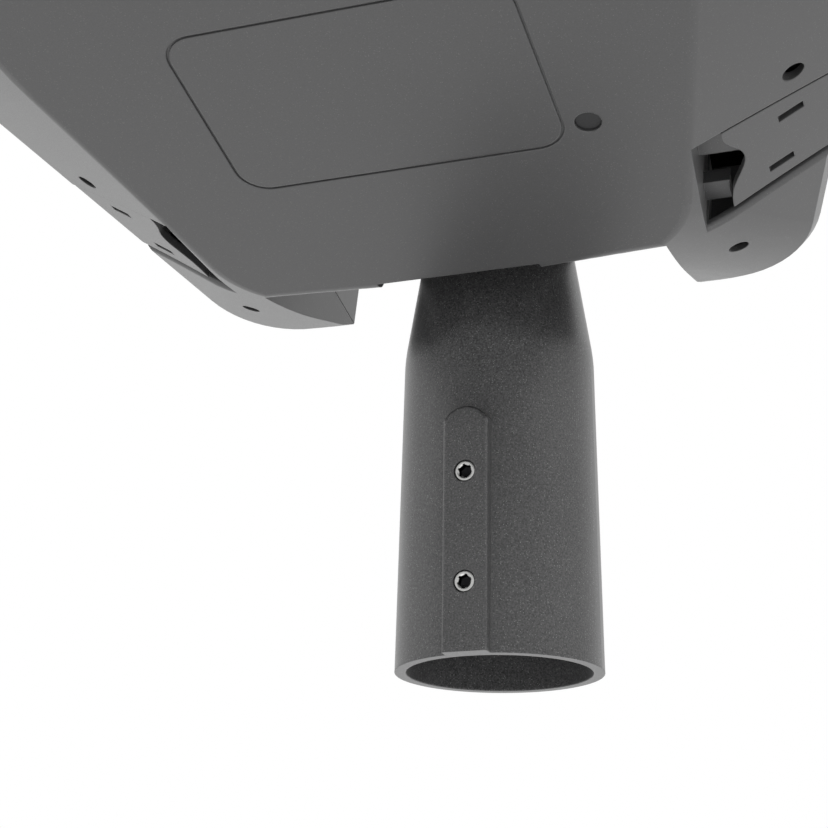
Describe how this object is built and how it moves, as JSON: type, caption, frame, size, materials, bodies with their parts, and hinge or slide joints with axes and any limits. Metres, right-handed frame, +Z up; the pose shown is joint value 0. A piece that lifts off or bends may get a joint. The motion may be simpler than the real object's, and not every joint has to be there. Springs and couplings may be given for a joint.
{
  "type": "led street light",
  "caption": "Die-cast LED street light head on a tilting pole-top spigot with set screws, a hinged gear lid held by side rocker latches, lens plates and cooling fins.",
  "frame": {"origin": "centre of the spigot's mouth, where the pole goes in", "axes": "+Z up along the spigot, -Y to the front of the head, +X to its right seen from the front edge"},
  "size_m": [0.308, 0.5796, 0.3052],
  "materials": {
    "casting": "anthracite fine-textured powder coat on die-cast aluminium",
    "steel": "plain stainless steel",
    "silicone": "grey silicone",
    "board": "white solder mask on an aluminium core",
    "phosphor": "yellow phosphor",
    "lens": "clear moulded lens plastic",
    "driver_case": "satin case",
    "nylon": "matt light grey",
    "black_nylon": "matt black",
    "brass_fitting": "plain brass"
  },
  "bodies": {
    "spigot": {"spigot": "casting", "pivot_bolts": "steel", "pivot_washers": "steel"},
    "head": {"lower_housing": "casting", "lid_gasket": "silicone", "lid_hinge_pins": "steel", "led_board_rear": "board", "led_board_front": "board", "led_chips": "phosphor", "lens_gasket_rear": "silicone", "lens_gasket_front": "silicone", "lens_plate_rear": "lens", "lens_plate_front": "lens", "lens_screws": "steel", "led_driver": "driver_case", "driver_screws": "steel", "terminal_block": "nylon", "surge_protector": "nylon", "cable_gland": "black_nylon", "gland_nut": "black_nylon", "breather_vent": "black_nylon", "earth_screw": "brass_fitting"},
    "lid": {"gear_lid": "casting", "latch_pin_left": "steel", "latch_pin_right": "steel"},
    "latch_left": {"latch_left": "casting"},
    "latch_right": {"latch_right": "casting"},
    "set_screw_lower": {"set_screw_lower": "steel"},
    "set_screw_upper": {"set_screw_upper": "steel"}
  },
  "joints": [
    {"name": "head_tilt", "type": "hinge", "parent": "spigot", "child": "head", "pos_m": [0, 0, 0.158], "axis": [-1, 0, 0], "range_deg": [-15, 75]},
    {"name": "lid_hinge", "type": "hinge", "parent": "head", "child": "lid", "pos_m": [0, -0.17955, 0.21429], "axis": [1, 0, 0], "range_deg": [0, 80]},
    {"name": "latch_left_rock", "type": "hinge", "parent": "lid", "child": "latch_left", "pos_m": [-0.10783, -0.04828, 0.15168], "axis": [0.2785, 0.9277, -0.2486], "range_deg": [0, 25]},
    {"name": "latch_right_rock", "type": "hinge", "parent": "lid", "child": "latch_right", "pos_m": [0.10783, -0.04828, 0.15168], "axis": [0.2785, -0.9277, 0.2486], "range_deg": [0, 25]},
    {"name": "set_screw_lower_drive", "type": "slide", "parent": "spigot", "child": "set_screw_lower", "axis": [0, 1, 0], "range_m": [0, 0.005]},
    {"name": "set_screw_upper_drive", "type": "slide", "parent": "spigot", "child": "set_screw_upper", "axis": [0, 1, 0], "range_m": [0, 0.005]}
  ]
}
